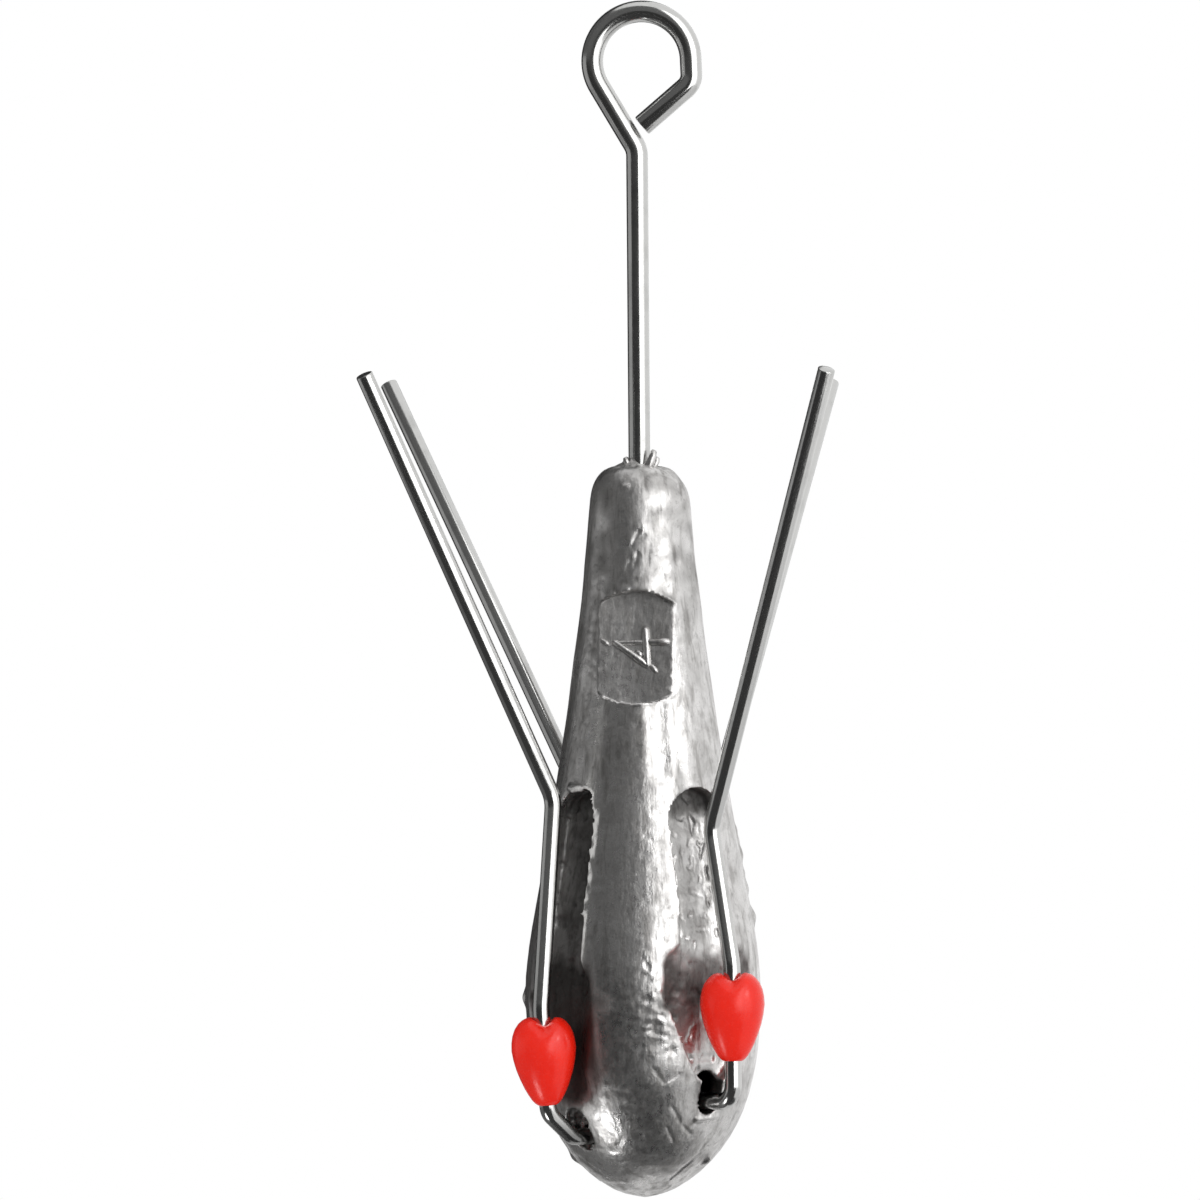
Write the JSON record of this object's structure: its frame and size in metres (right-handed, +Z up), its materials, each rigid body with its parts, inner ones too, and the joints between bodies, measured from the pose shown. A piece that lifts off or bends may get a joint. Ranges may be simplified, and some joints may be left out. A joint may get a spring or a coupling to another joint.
{
  "type": "fishing sinker",
  "caption": "Cast lead surf sinker on a wire eye, with hinged anchor wires that clip up on beads and fold back.",
  "frame": {"origin": "centre of the line eye", "axes": "+Z up along the shank, -Y the front with the weight numeral, +X to the right of the front"},
  "size_m": [0.0438, 0.0484, 0.1046],
  "materials": {
    "lead": "dull, mottled, as cast",
    "wire": "bright drawn",
    "bead": "satin gloss"
  },
  "bodies": {
    "weight": {"lead_body": "lead", "tail_wire": "wire"},
    "lower_grip": {"grip_wire_lower": "wire"},
    "upper_grip": {"grip_wire_upper": "wire"},
    "bead_fl": {"bead_front_left": "bead"},
    "bead_fr": {"bead_front_right": "bead"},
    "bead_bl": {"bead_back_left": "bead"},
    "bead_br": {"bead_back_right": "bead"}
  },
  "joints": [
    {"name": "lower_grip_swing", "type": "hinge", "parent": "weight", "child": "lower_grip", "pos_m": [-0.00107, 0.00043, -0.0936], "axis": [0.5736, 0.8192, 0], "range_deg": [-180, 180]},
    {"name": "upper_grip_swing", "type": "hinge", "parent": "weight", "child": "upper_grip", "pos_m": [-0.00045, 0, -0.0905], "axis": [0.7071, -0.7071, 0], "range_deg": [-180, 180]},
    {"name": "bead_fl_spin", "type": "hinge", "parent": "lower_grip", "child": "bead_fl", "pos_m": [-0.00817, -0.0092, -0.08685], "axis": [-0.0569, -0.0678, 0.9961], "continuous": true},
    {"name": "bead_br_spin", "type": "hinge", "parent": "lower_grip", "child": "bead_br", "pos_m": [0.00555, 0.0104, -0.08685], "axis": [0.0443, 0.0767, 0.9961], "continuous": true},
    {"name": "bead_fr_spin", "type": "hinge", "parent": "upper_grip", "child": "bead_fr", "pos_m": [0.00812, -0.00857, -0.0831], "axis": [-0.003, 0.003, 1], "continuous": true},
    {"name": "bead_bl_spin", "type": "hinge", "parent": "upper_grip", "child": "bead_bl", "pos_m": [-0.00902, 0.00857, -0.0831], "axis": [0.003, -0.003, 1], "continuous": true}
  ]
}
